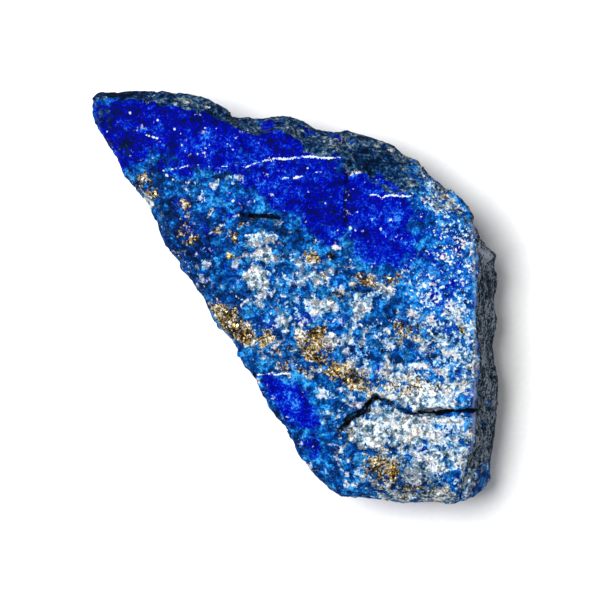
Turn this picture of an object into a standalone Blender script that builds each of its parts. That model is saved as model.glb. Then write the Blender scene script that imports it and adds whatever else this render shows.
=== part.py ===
# Rough lapis lazuli: one broken piece of lapis rock, lying on its flat underside with its broad face up.
# The plan outline is extruded into a slab, flat breaks and hollow chips take its corners off above and
# below, lumps and small chips roughen its skin, and cracks are cut into the broad face.
# Metres, +Z up. The origin is the middle of the stone's box, on the surface that it rests on.

import math

import bmesh
import bpy
from mathutils import Matrix, Vector, noise

MM = 0.001

# Driving dimensions.
WIDTH = 49.2 * MM  # along X, from the pointed tip to the foot of the right wall
LENGTH = 49.8 * MM  # along Y, from the top rim to the bottom edge
THICKNESS = 15.0 * MM  # from the resting face to the highest lump of the broad face
SKIN_GRAIN = 0.45 * MM  # spacing of the points of the skin while it is roughened
SKIN_TRIANGLES = 9000  # triangles that are left of the skin afterwards

# The plan, clockwise from the tip. Each corner is a share of the width and of the length, from the middle.
TOP_RIM = [
    (-0.500, 0.483), (-0.485, 0.490), (-0.410, 0.493), (-0.332, 0.500), (-0.283, 0.498), (-0.239, 0.483),
    (-0.195, 0.464), (-0.152, 0.440), (-0.010, 0.440), (0.017, 0.428), (0.041, 0.408), (0.083, 0.399),
    (0.132, 0.406), (0.165, 0.401), (0.212, 0.387),
]
RIND_SHOULDER = [
    (0.268, 0.368), (0.306, 0.353), (0.328, 0.324), (0.334, 0.300), (0.369, 0.272), (0.401, 0.246),
    (0.432, 0.206), (0.449, 0.169), (0.459, 0.139),
]
RIGHT_WALL = [
    (0.496, 0.100), (0.500, 0.071), (0.498, -0.006), (0.497, -0.114), (0.499, -0.211), (0.494, -0.295),
    (0.494, -0.343), (0.487, -0.396), (0.483, -0.440), (0.466, -0.470),
]
BOTTOM_EDGE = [
    (0.438, -0.485), (0.412, -0.497), (0.351, -0.500), (0.253, -0.498), (0.180, -0.488), (0.120, -0.478),
]
LEFT_EDGE = [
    (0.058, -0.428), (0.005, -0.367), (-0.012, -0.329), (-0.052, -0.283), (-0.083, -0.230),
    (-0.090, -0.199), (-0.115, -0.182), (-0.137, -0.146), (-0.144, -0.124), (-0.175, -0.095),
    (-0.212, -0.045), (-0.247, 0.035), (-0.270, 0.066), (-0.310, 0.119), (-0.335, 0.187),
    (-0.358, 0.220), (-0.390, 0.259), (-0.420, 0.302), (-0.466, 0.384), (-0.493, 0.447),
]

# Flat breaks. Each runs clockwise along a line, so that the outside is on its left. The line's two ends are
# shares of the width, the length and the thickness, and the last number is the slope across the line in
# degrees from the level. Those from above take off what is over them, the others what is under them.
BREAKS_FROM_ABOVE = {
    "tip_fall": ((-0.342, -0.020, 1.000), (-0.134, 0.480, 1.000), 4),
    "tip_rim": ((-0.500, 0.476, 0.930), (-0.332, 0.476, 0.960), 64),
    "first_scallop": ((-0.347, 0.482, 0.970), (-0.168, 0.426, 0.985), 52),
    "second_scallop": ((-0.188, 0.424, 0.985), (-0.010, 0.420, 0.990), 58),
    "third_scallop": ((-0.020, 0.415, 0.990), (0.114, 0.330, 0.995), 36),
    "rind_face": ((0.099, 0.335, 0.995), (0.322, 0.245, 0.990), 47),
    "rind_edge": ((0.307, 0.280, 0.985), (0.438, 0.158, 0.985), 55),
    "wall_ledge": ((0.436, 0.190, 0.985), (0.448, 0.085, 0.990), 48),
    "wall_top": ((0.446, 0.092, 0.990), (0.452, -0.210, 0.990), 72),
    "wall_foot": ((0.454, -0.150, 0.990), (0.434, -0.420, 0.980), 72),
    "corner": ((0.440, -0.370, 0.980), (0.396, -0.495, 0.970), 70),
    "bottom_rim": ((0.416, -0.478, 0.970), (0.124, -0.462, 0.970), 60),
    "lower_left_rim": ((0.158, -0.455, 0.985), (-0.050, -0.205, 0.985), 34),
    "left_rim": ((-0.134, -0.120, 0.970), (-0.480, 0.440, 0.950), 45),
}
BREAKS_FROM_BELOW = {
    "under_tip": ((-0.223, -0.100, 0.000), (0.094, 0.350, 0.000), 22),
    "under_left": ((0.292, -0.420, 0.000), (-0.163, 0.240, 0.000), 50),
    "under_rim": ((-0.282, 0.300, 0.000), (0.232, 0.230, 0.000), 50),
    "under_shoulder": ((0.173, 0.300, 0.000), (0.430, 0.080, 0.000), 62),
    "under_wall": ((0.430, 0.160, 0.000), (0.430, -0.440, 0.000), 64),
    "under_bottom": ((0.470, -0.420, 0.000), (0.015, -0.400, 0.000), 52),
}

# The slab below the long crack lies lower than the rest of the broad face, most of all at the right wall.
STEP_LINE = ((0.490, -0.270, 0.930), (0.104, -0.300, 0.997))
STEP_RISE = 3.0  # degrees, by which the slab comes up again away from the crack

# Hollow chips: the middle of the ball that scoops each out, as shares of the width, the length and the
# thickness, and its radius in mm.
SCOOPS = {
    "rim_scoop": ((-0.079, 0.530, 1.060), 6.4),
    "shoulder_scoop": ((0.059, 0.470, 1.020), 5.2),
    "rind_scoop": ((0.242, 0.330, 1.240), 5.6),
    "elbow_scoop": ((0.391, 0.290, 1.180), 5.0),
    "lens_scoop": ((0.005, -0.330, 2.020), 15.8),
    "wall_scoop": ((0.589, -0.130, 0.700), 6.0),
    "corner_scoop": ((0.529, -0.420, 0.900), 5.2),
}

# Cracks: points along each as shares in plan, with its width there in mm, and then its depth in mm.
CRACKS = {
    "long_crack": (
        [
            (0.112, -0.318, 0.10), (0.132, -0.296, 0.75), (0.156, -0.283, 0.65), (0.175, -0.274, 0.85),
            (0.185, -0.252, 0.60), (0.200, -0.242, 0.70), (0.225, -0.250, 0.35), (0.254, -0.268, 0.30),
            (0.292, -0.279, 0.45), (0.327, -0.281, 0.85), (0.363, -0.277, 0.70), (0.400, -0.274, 0.55),
            (0.460, -0.270, 0.35),
        ],
        1.9,
    ),
    "crevice": (
        [(-0.144, 0.200, 0.10), (-0.104, 0.192, 0.65), (-0.064, 0.196, 0.45), (-0.035, 0.190, 0.10)],
        1.1,
    ),
    "corner_crack": (
        [(0.427, -0.370, 0.20), (0.425, -0.420, 0.60), (0.415, -0.470, 0.65), (0.409, -0.510, 0.70)],
        3.0,
    ),
}

# Roughness of the skin: the size of its lumps, chips and grit, and how far each moves it. The chips are long
# and narrow, as lapis breaks along its bedding, which runs down to the right across the plan.
LUMP_SIZE, LUMP_HEIGHT = 8.0 * MM, 0.50 * MM
CHIP_SIZES = (9.0 * MM, 3.6 * MM)
CHIP_SLOPES = (0.055, 0.110)
CHIP_STRETCH = 1.7
BEDDING_TURN = math.radians(-38)
SEED_SPREAD = 37.0  # takes neighbouring chips far apart, so that their tilts differ
GRIT_SIZE, GRIT_HEIGHT = 1.6 * MM, 0.18 * MM
BROAD_FACE_CHIPS = 0.42  # how strong the chips are on the level broad face, of what they are on the walls

BASE_SPARE = 1.0 * MM  # rock below the resting face, which is cut off level after the skin is roughened
SEW_DISTANCE = 0.01 * MM
CUTTER_REACH = 16.0 * MM
BALL_STEPS = 4


def place(point):
    """A point given as shares of the width, the length and, if it has a third number, the thickness."""
    height = point[2] if len(point) > 2 else 0.0
    return Vector((point[0] * WIDTH, point[1] * LENGTH, height * THICKNESS))


def new_collection(name):
    collection = bpy.data.collections.new(name)
    bpy.context.scene.collection.children.link(collection)
    return collection


def add_object(name, mesh, collection):
    obj = bpy.data.objects.new(name, mesh)
    collection.objects.link(obj)
    return obj


def add_cutter(name, shape, collection):
    """A cutter from a bmesh, seen as wires only."""
    bmesh.ops.recalc_face_normals(shape, faces=shape.faces)
    mesh = bpy.data.meshes.new(name)
    shape.to_mesh(mesh)
    shape.free()
    hide_cutter(add_object(name, mesh, collection))


def hide_cutter(cutter):
    cutter.hide_render = True
    cutter.display_type = "WIRE"


def mesh_from(obj):
    """The object's mesh with its curve filled or its modifiers applied, and its loose caps sewn on."""
    bpy.context.view_layer.update()
    graph = bpy.context.evaluated_depsgraph_get()
    mesh = bpy.data.meshes.new_from_object(obj.evaluated_get(graph))
    shape = bmesh.new()
    shape.from_mesh(mesh)
    bmesh.ops.remove_doubles(shape, verts=shape.verts, dist=SEW_DISTANCE)
    bmesh.ops.recalc_face_normals(shape, faces=shape.faces)
    shape.to_mesh(mesh)
    shape.free()
    return mesh


def slab_from_outline(name, points, low, high, collection):
    """A flat outline extruded from height low to height high."""
    curve = bpy.data.curves.new(name + "_outline", "CURVE")
    curve.dimensions = "2D"
    curve.fill_mode = "BOTH"
    curve.extrude = (high - low) / 2
    spline = curve.splines.new("POLY")
    spline.points.add(len(points) - 1)
    for corner, point in zip(spline.points, points):
        corner.co = (point.x, point.y, 0.0, 1.0)
    spline.use_cyclic_u = True
    guide = add_object(name + "_guide", curve, collection)
    mesh = mesh_from(guide)
    bpy.data.objects.remove(guide)
    mesh.transform(Matrix.Translation((0.0, 0.0, (high + low) / 2)))
    return add_object(name, mesh, collection)


def break_cutter(name, ends, steep, side, behind, spare, collection):
    """A box with the break as its face. side is 1 for a break from above and -1 for one from below.

    behind is how far the box runs inward over the stone, and spare how far it runs past the line's ends.
    """
    start, end = place(ends[0]), place(ends[1])
    along = (end - start).normalized()
    outward = Vector((-along.y, along.x, 0.0)).normalized()
    slope = math.radians(steep)
    across = outward * math.cos(slope) - Vector((0.0, 0.0, side * math.sin(slope)))
    normal = along.cross(across).normalized() * side
    reach = CUTTER_REACH + spare
    size = ((end - start).length + 2 * spare, reach + behind, CUTTER_REACH)
    frame = Matrix((along, across, normal)).transposed().to_4x4()
    frame.translation = (start + end) / 2 + across * (reach - behind) / 2 + normal * CUTTER_REACH / 2
    box = bmesh.new()
    bmesh.ops.create_cube(box, size=1.0, matrix=frame @ Matrix.Diagonal((*size, 1.0)))
    add_cutter(name, box, collection)


def scoop_cutter(name, centre, radius, collection):
    ball = bmesh.new()
    middle = Matrix.Translation(place(centre))
    bmesh.ops.create_icosphere(ball, subdivisions=BALL_STEPS, radius=radius * MM, matrix=middle)
    add_cutter(name, ball, collection)


def base_cutter(collection):
    """A slab under the stone, whose level top makes the face that the stone rests on."""
    box = bmesh.new()
    size = (2 * WIDTH, 2 * LENGTH, 2 * THICKNESS)
    middle = Matrix.Translation((0.0, 0.0, -THICKNESS))
    bmesh.ops.create_cube(box, size=1.0, matrix=middle @ Matrix.Diagonal((*size, 1.0)))
    add_cutter("resting_break", box, collection)


def crack_cutter(name, line, depth, collection):
    """An upright slot along the line, as wide at each point as the line says."""
    centres = [place(point[:2]) for point in line]
    banks = ([], [])
    for index, point in enumerate(line):
        before = centres[max(index - 1, 0)]
        after = centres[min(index + 1, len(line) - 1)]
        along = (after - before).normalized()
        outward = Vector((-along.y, along.x, 0.0)) * point[2] * MM / 2
        banks[0].append(centres[index] + outward)
        banks[1].append(centres[index] - outward)
    top = THICKNESS + depth * MM
    floor = THICKNESS - depth * MM
    hide_cutter(slab_from_outline(name, banks[0] + banks[1][::-1], floor, top, collection))


def cut(stone, name, cutters):
    """Takes every cutter of a collection out of the stone."""
    boolean = stone.modifiers.new(name, "BOOLEAN")
    boolean.operation = "DIFFERENCE"
    boolean.operand_type = "COLLECTION"
    boolean.collection = cutters
    apply_modifiers(stone)


def apply_modifiers(stone):
    mesh = mesh_from(stone)
    stone.modifiers.clear()
    stone.data = mesh


def remesh(stone, spacing):
    """The same shape with evenly spaced points."""
    modifier = stone.modifiers.new("even_skin", "REMESH")
    modifier.mode = "VOXEL"
    modifier.voxel_size = spacing
    apply_modifiers(stone)


def chip_height(spot, size, slope):
    """Every chip is a small flat facet with its own tilt, so that steps stand between neighbours."""
    turned = Matrix.Rotation(-BEDDING_TURN, 3, "Z") @ spot / size
    turned.x /= CHIP_STRETCH
    seed = noise.voronoi(turned)[1][0]
    tilt = noise.cell_vector(seed * SEED_SPREAD) * 2 - Vector((1.0, 1.0, 1.0))
    return (turned - seed).dot(tilt) * slope * size


def roughen(stone):
    shape = bmesh.new()
    shape.from_mesh(stone.data)
    shape.normal_update()
    moves = []
    for vert in shape.verts:
        lump = noise.noise(vert.co / LUMP_SIZE) * LUMP_HEIGHT
        grit = noise.noise(vert.co / GRIT_SIZE) * GRIT_HEIGHT
        chips = sum(chip_height(vert.co, size, slope) for size, slope in zip(CHIP_SIZES, CHIP_SLOPES))
        level = max(vert.normal.z, 0.0) ** 4
        chips *= 1 + (BROAD_FACE_CHIPS - 1) * level
        moves.append(vert.normal * (lump + grit + chips))
    for vert, move in zip(shape.verts, moves):
        vert.co += move
    shape.to_mesh(stone.data)
    shape.free()


def thin_out(stone, triangles):
    """Fewer triangles, the most of them left where the skin bends."""
    modifier = stone.modifiers.new("thin_out", "DECIMATE")
    modifier.ratio = triangles / (2 * len(stone.data.polygons))
    apply_modifiers(stone)


def fit_to_size(stone):
    """Brings the roughened stone to its driving dimensions, with its origin under the middle of its box."""
    corners = [vert.co for vert in stone.data.vertices]
    low = Vector([min(corner[axis] for corner in corners) for axis in range(3)])
    high = Vector([max(corner[axis] for corner in corners) for axis in range(3)])
    wanted = Vector((WIDTH, LENGTH, THICKNESS))
    scale = Matrix.Diagonal([wanted[axis] / (high - low)[axis] for axis in range(3)]).to_4x4()
    foot = Vector(((low.x + high.x) / 2, (low.y + high.y) / 2, low.z))
    stone.data.transform(scale @ Matrix.Translation(-foot))


def lapis_material():
    material = bpy.data.materials.new("lapis_rock")
    material.use_nodes = True
    surface = material.node_tree.nodes["Principled BSDF"]
    surface.inputs["Base Color"].default_value = (0.02, 0.09, 0.45, 1.0)
    surface.inputs["Roughness"].default_value = 0.55
    surface.inputs["Metallic"].default_value = 0.0
    return material


def main():
    for obj in list(bpy.data.objects):
        bpy.data.objects.remove(obj)
    specimen = new_collection("rough_lapis_lazuli")
    breaks = new_collection("breaks")
    cracks = new_collection("cracks")

    outline = [place(point) for point in TOP_RIM + RIND_SHOULDER + RIGHT_WALL + BOTTOM_EDGE + LEFT_EDGE]
    stone = slab_from_outline("lapis_lazuli", outline, -BASE_SPARE, THICKNESS, specimen)
    for name, (start, end, steep) in BREAKS_FROM_ABOVE.items():
        break_cutter(name, (start, end), steep, 1, CUTTER_REACH, 0.0, breaks)
    for name, (start, end, steep) in BREAKS_FROM_BELOW.items():
        break_cutter(name, (start, end), steep, -1, WIDTH, WIDTH, breaks)
    break_cutter("step", STEP_LINE, -STEP_RISE, 1, 0.0, 0.0, breaks)
    for name, (centre, radius) in SCOOPS.items():
        scoop_cutter(name, centre, radius, breaks)
    cut(stone, "breaks", breaks)

    remesh(stone, SKIN_GRAIN)
    roughen(stone)
    thin_out(stone, SKIN_TRIANGLES)
    for name, (line, depth) in CRACKS.items():
        crack_cutter(name, line, depth, cracks)
    base_cutter(cracks)
    cut(stone, "cracks", cracks)
    fit_to_size(stone)
    stone.data.materials.clear()
    stone.data.materials.append(lapis_material())


main()
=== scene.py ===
# Rough lapis lazuli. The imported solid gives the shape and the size. This script adds the broken surface, the
# mineral patches and the finish, then the white card, the light and the camera of the photograph.
import math
import bmesh
import bpy
import numpy as np
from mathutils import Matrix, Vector, noise


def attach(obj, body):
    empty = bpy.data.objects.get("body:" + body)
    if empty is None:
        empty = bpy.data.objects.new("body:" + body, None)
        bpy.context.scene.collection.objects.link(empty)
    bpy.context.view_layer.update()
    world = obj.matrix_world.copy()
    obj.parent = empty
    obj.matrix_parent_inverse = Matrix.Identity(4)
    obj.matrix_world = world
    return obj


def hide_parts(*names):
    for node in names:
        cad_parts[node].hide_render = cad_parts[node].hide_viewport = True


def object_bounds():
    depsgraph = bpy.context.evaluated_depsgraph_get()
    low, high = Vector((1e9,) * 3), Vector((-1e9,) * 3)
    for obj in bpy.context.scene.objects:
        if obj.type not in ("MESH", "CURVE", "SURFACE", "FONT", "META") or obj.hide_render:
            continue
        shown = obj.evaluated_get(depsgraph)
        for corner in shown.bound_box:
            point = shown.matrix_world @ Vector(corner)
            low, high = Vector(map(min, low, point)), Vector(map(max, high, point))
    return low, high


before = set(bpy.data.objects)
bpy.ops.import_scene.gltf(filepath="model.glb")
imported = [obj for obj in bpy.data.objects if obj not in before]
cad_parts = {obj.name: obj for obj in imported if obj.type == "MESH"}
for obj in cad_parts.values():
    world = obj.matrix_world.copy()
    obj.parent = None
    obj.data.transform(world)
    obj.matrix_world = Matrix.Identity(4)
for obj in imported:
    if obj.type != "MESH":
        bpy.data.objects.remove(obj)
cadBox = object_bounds()
mm = 0.001
noise.seed_set(4)   # without this, Blender seeds its vector noise from the clock
print("frame loaded:", sorted(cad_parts))


# Helpers for meshes

def applyModifiers(piece):
    depsgraph = bpy.context.evaluated_depsgraph_get()
    finished = bpy.data.meshes.new_from_object(piece.evaluated_get(depsgraph))
    piece.modifiers.clear()
    piece.data = finished


def voxelRemesh(piece, sizeMm, smoothSteps):
    remesh = piece.modifiers.new("remesh", "REMESH")
    remesh.mode = "VOXEL"
    remesh.voxel_size = sizeMm * mm
    smooth = piece.modifiers.new("smooth", "SMOOTH")
    smooth.factor = 0.5
    smooth.iterations = smoothSteps
    applyModifiers(piece)


def soft(low, high, value):
    # 0 at low, 1 at high and an easy curve between; low may be the larger one
    t = np.clip((value - low) / (high - low), 0.0, 1.0)
    return t * t * (3.0 - 2.0 * t)


def fractalAt(points, sizeMm, octaves, seed):
    # fractal noise, about -1 to 1, with its largest lumps sizeMm across; each seed has its own stretch of it
    roughness, finer = 0.8, 2.0
    shift = Vector((seed * 17.3, seed * 5.9, seed * 11.1))
    return np.array([noise.fractal(Vector(p) / sizeMm + shift, roughness, finer, octaves) for p in points])


def vectorNoiseAt(points, sizeMm, seed):
    # a smooth wander, about -1 to 1 along each axis
    shift = Vector((seed * 7.7, seed * 13.1, seed * 3.3))
    return np.array([noise.noise_vector(Vector(p) / sizeMm + shift) for p in points])


def chipsAt(points, sizeMm, seed):
    # flat facets, each tipped its own way, as where small chips have flown off
    shift = Vector((seed * 9.1, seed * 4.7, seed * 2.9))
    apart = 3.7   # takes chips that are side by side to tilts of their own
    heights = []
    for p in points:
        place = Vector(p) / sizeMm + shift
        nearest = noise.voronoi(place)[1][0]
        tilt = noise.cell_vector(nearest * apart)
        heights.append((place - nearest).dot(tilt - Vector((0.5, 0.5, 0.5))))
    return np.array(heights)


def lineField(x, y, line):
    # distance in mm to a line of points, and how far along it the nearest place is, 0 to 1
    best = np.full(len(x), 1e9)
    along = np.zeros(len(x))
    steps = [math.dist(a, b) for a, b in zip(line, line[1:])]
    total, done = sum(steps), 0.0
    for (ax, ay), (bx, by), step in zip(line, line[1:], steps):
        t = np.clip(((x - ax) * (bx - ax) + (y - ay) * (by - ay)) / step ** 2, 0.0, 1.0)
        gap = np.hypot(x - ax - t * (bx - ax), y - ay - t * (by - ay))
        closer = gap < best
        best = np.where(closer, gap, best)
        along = np.where(closer, (done + t * step) / total, along)
        done += step
    return best, along


def patchField(x, y, patches, inner, outer):
    # the strongest of several soft ellipses at each point, full up to inner and gone at outer, in half widths
    field = np.zeros(len(x))
    for cx, cy, wide, high, turn, amount in patches:
        c, s = math.cos(math.radians(turn)), math.sin(math.radians(turn))
        u = ((x - cx) * c + (y - cy) * s) / wide
        v = ((y - cy) * c - (x - cx) * s) / high
        field = np.maximum(field, amount * soft(outer, inner, np.hypot(u, v)))
    return field


def storeField(mesh, name, values):
    # one number per point, for the material to read
    layer = mesh.attributes.new(name, "FLOAT", "POINT")
    layer.data.foreach_set("value", np.asarray(values, dtype=np.float32))


# The stone's broken surface

stone = {
    "weldGap": 0.002,        # mm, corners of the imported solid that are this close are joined
    "coarseVoxel": 0.26,     # mm, first pass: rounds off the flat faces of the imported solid
    "coarseSmooth": 5,
    "fineVoxel": 0.17,       # mm between points; the photograph shows 0.12 mm a pixel
    "fineSmooth": 2,
    "mostTriangles": 190000,
    "thinTurn": (0.75, 0.25),     # how far up a point faces where thinning starts, and where it is full
    "thinHeight": (13.0, 9.0),    # mm above the table, the same
    "thinForce": 3.0,        # how much harder the sides are thinned
    "faceTurn": (0.45, 0.85),     # how far up a point faces, from side to broad face
    "faceHeight": (10.0, 13.0),   # mm above the table, the same
    "lumpSize": 1.6,         # mm, largest of the fine lumps
    "faceRelief": 0.05,      # mm, how high they are on the broad face
    "wallRelief": 0.16,      # mm, the same on the walls and the underside
    "chipSizes": (2.4, 0.95),     # mm across
    "faceChips": (0.10, 0.055),   # mm, depth of the two chip sizes on the broad face
    "wallChips": (0.34, 0.16),    # mm, the same on the walls and the underside
    "beddingTurn": (0.5, 0.15),   # how far up or down a point faces, from no bedding lines to full ones
    "beddingDepth": 0.10,    # mm, the bedding lines round the walls
    "beddingGap": 1.3,       # mm from line to line
    "beddingWave": 0.5,      # mm, how far the lines rise and fall
    "waveSize": 9.0,         # mm from rise to rise
    "restHeight": (0.25, 0.9),    # mm, from the level spot it rests on to full relief
    "crackWander": 0.22,     # mm, how far a crack strays from its line
    "wanderSize": 0.9,       # mm from bend to bend
    "closingEnds": (0.12, 0.93),  # shares of a crack's length where it is fully open, and starts to close
    "wallCrackEnd": 0.15,    # the first of these for a crack that runs out at the wall
}

# Cracks that are deep enough to need real depth: the line, depth and half width, all in mm, and whether
# the far end runs out at the wall instead of closing
cracks = {
    "crackHook": ([(4.9, -15.9), (5.8, -15.5), (6.5, -14.7), (7.7, -14.1), (8.6, -13.6), (9.1, -12.5),
                   (9.8, -12.1), (10.8, -12.3), (11.8, -12.9)], 0.95, 0.16, False),
    "crackNeck": ([(10.2, -12.1), (11.2, -12.6), (12.5, -13.4), (14.3, -13.9), (15.6, -14.0)],
                  0.50, 0.10, False),
    "longCrack": ([(13.4, -13.7), (14.3, -13.9), (16.1, -14.0), (17.9, -13.7), (19.7, -13.6),
                   (21.9, -13.5)], 1.1, 0.15, True),
    "crevice": ([(-6.9, 10.1), (-4.9, 9.7), (-3.4, 9.8), (-1.7, 9.4)], 0.9, 0.20, False),
    "hairline": ([(5.9, 16.5), (6.1, 14.1), (5.9, 11.7), (5.8, 9.7), (6.0, 8.1)], 0.34, 0.14, False),
    "seamPit": ([(-7.0, 7.7), (-7.1, 6.4)], 0.25, 0.14, False),
}


def makeStone():
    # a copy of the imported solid, fine enough to carve and with its sharp edges rounded
    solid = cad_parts["lapis_lazuli"].data.copy()
    piece = bpy.data.objects.new("raw_lapis", solid)
    bpy.context.scene.collection.objects.link(piece)
    weld = bmesh.new()
    weld.from_mesh(solid)
    bmesh.ops.remove_doubles(weld, verts=weld.verts, dist=stone["weldGap"] * mm)
    weld.to_mesh(solid)
    weld.free()
    voxelRemesh(piece, stone["coarseVoxel"], stone["coarseSmooth"])
    voxelRemesh(piece, stone["fineVoxel"], stone["fineSmooth"])
    return piece


def readPoints(mesh):
    # places in mm, and the way each point faces
    points = np.empty(len(mesh.vertices) * 3)
    normals = np.empty(len(mesh.vertices) * 3)
    mesh.vertices.foreach_get("co", points)
    mesh.vertex_normals.foreach_get("vector", normals)
    return points.reshape(-1, 3) / mm, normals.reshape(-1, 3)


def thinSides(piece):
    # keeps every point of the broad face, and fewer on the walls and the underside
    points, normals = readPoints(piece.data)
    away = soft(*stone["thinTurn"], normals[:, 2]) + soft(*stone["thinHeight"], points[:, 2])
    group = piece.vertex_groups.new(name="sides")
    steps = 10
    for step in range(1, steps + 1):
        chosen = np.nonzero(np.round(np.clip(away, 0.0, 1.0) * steps) == step)[0]
        group.add(chosen.tolist(), step / steps, "REPLACE")
    triangles = sum(len(face.vertices) - 2 for face in piece.data.polygons)
    if triangles > stone["mostTriangles"]:
        thin = piece.modifiers.new("thin", "DECIMATE")
        thin.ratio = stone["mostTriangles"] / triangles
        thin.vertex_group = group.name
        thin.vertex_group_factor = stone["thinForce"]
        applyModifiers(piece)


def crackDepths(points):
    # mm, how deep the cracks are at each point
    x, y = points[:, 0], points[:, 1]
    wander = stone["crackWander"] * vectorNoiseAt(points, stone["wanderSize"], seed=5)
    depth = np.zeros(len(x))
    opens, closes = stone["closingEnds"]
    for line, deep, half, runsOut in cracks.values():
        gap, along = lineField(x + wander[:, 0], y + wander[:, 1], line)
        if runsOut:
            ends = soft(0.0, stone["wallCrackEnd"], along)
        else:
            ends = soft(0.0, opens, along) * soft(1.0, closes, along)
        depth = np.maximum(depth, deep * ends * np.exp(-(gap / half) ** 2))
    return depth


def breakSurface(mesh):
    # carves lumps, chips, bedding lines and cracks, and gives back the relief and the crack depth in mm
    points, normals = readPoints(mesh)
    z = points[:, 2]
    onFace = soft(*stone["faceTurn"], normals[:, 2]) * soft(*stone["faceHeight"], z)
    relief = onFace * stone["faceRelief"] + (1 - onFace) * stone["wallRelief"]
    height = relief * fractalAt(points, stone["lumpSize"], octaves=5, seed=1)
    for size, face, wall in zip(stone["chipSizes"], stone["faceChips"], stone["wallChips"]):
        height += (onFace * face + (1 - onFace) * wall) * chipsAt(points, size, seed=size)
    upright = soft(*stone["beddingTurn"], np.abs(normals[:, 2]))
    wavy = z + stone["beddingWave"] * fractalAt(points, stone["waveSize"], octaves=2, seed=3)
    height += upright * stone["beddingDepth"] * np.sin(2 * math.pi * wavy / stone["beddingGap"])
    moved = points + normals * (height * soft(*stone["restHeight"], z))[:, None]
    depth = crackDepths(points)
    moved[:, 2] -= depth * onFace
    low, high = [np.array(corner) / mm for corner in cadBox]
    moved = np.clip(moved, low, high)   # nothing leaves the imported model's box
    mesh.vertices.foreach_set("co", (moved * mm).ravel())
    mesh.update()
    return height, depth


# Where the minerals lie on the broad face. Each patch is a soft ellipse: middle x and y and half widths in
# mm, turn in degrees, amount

lazuritePatches = [
    # the deep band from the tip to the middle of the stone
    (-15.7, 20.7, 10.2, 3.6, -5, 0.95), (-21.1, 18.9, 3.8, 3.6, -30, 0.95), (-1.3, 18.9, 9.0, 3.4, -8, 0.9),
    (0.5, 13.5, 6.6, 3.8, -10, 0.95), (8.3, 11.7, 6.6, 4.1, -25, 0.9), (11.0, 6.9, 4.1, 2.9, -20, 0.85),
    (-10.3, 17.7, 6.0, 2.6, 0, 0.85), (-5.0, 15.2, 3.4, 2.6, -20, 0.8), (9.8, 7.0, 3.6, 3.2, 0, 0.85),
    (-14.8, 15.4, 2.8, 1.4, -8, 0.7), (3.2, 8.8, 3.4, 2.0, -30, 0.85),
    # the lens at the lower left edge
    (-0.5, -12.8, 4.6, 2.1, -44, 0.90),
    # thin blue below the band and down the left edge
    (14.4, 9.5, 2.4, 4.2, 20, 0.45), (17.6, 3.6, 3.4, 7.0, 0, 0.52), (-13.0, 8.5, 3.2, 5.5, 30, 0.50),
    (-8.5, 11.5, 4.5, 3.0, 0, 0.45), (-3.7, -2.9, 1.4, 1.0, 0, 0.5), (-8.0, 3.0, 1.6, 1.2, -20, 0.5),
    (-14.0, 4.5, 2.0, 1.2, -40, 0.4),
    # royal grains in the white middle, on the white side and below the crack
    (1.1, -2.1, 1.9, 1.2, 0, 0.52), (4.7, -2.9, 1.9, 1.4, 0, 0.52), (5.5, 2.1, 1.6, 1.2, 0, 0.5),
    (9.7, -8.9, 0.8, 1.3, 0, 0.62), (18.5, -3.9, 1.4, 0.7, 0, 0.60), (15.2, -17.9, 0.9, 0.7, 0, 0.6),
    (14.1, -22.4, 1.0, 0.8, 0, 0.6), (13.9, -10.3, 1.2, 0.6, 0, 0.5), (17.4, -11.0, 1.2, 0.6, 0, 0.55),
    (19.2, -9.4, 0.7, 0.9, 0, 0.55), (20.4, -11.6, 0.7, 0.9, -40, 0.55), (17.9, -0.9, 1.0, 0.5, 0, 0.5),
    (2.2, -18.0, 1.2, 2.2, 42, 0.6), (17.3, 1.5, 1.7, 1.2, 0, 0.4), (10.7, -3.9, 1.0, 1.0, 0, 0.4),
]
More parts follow.
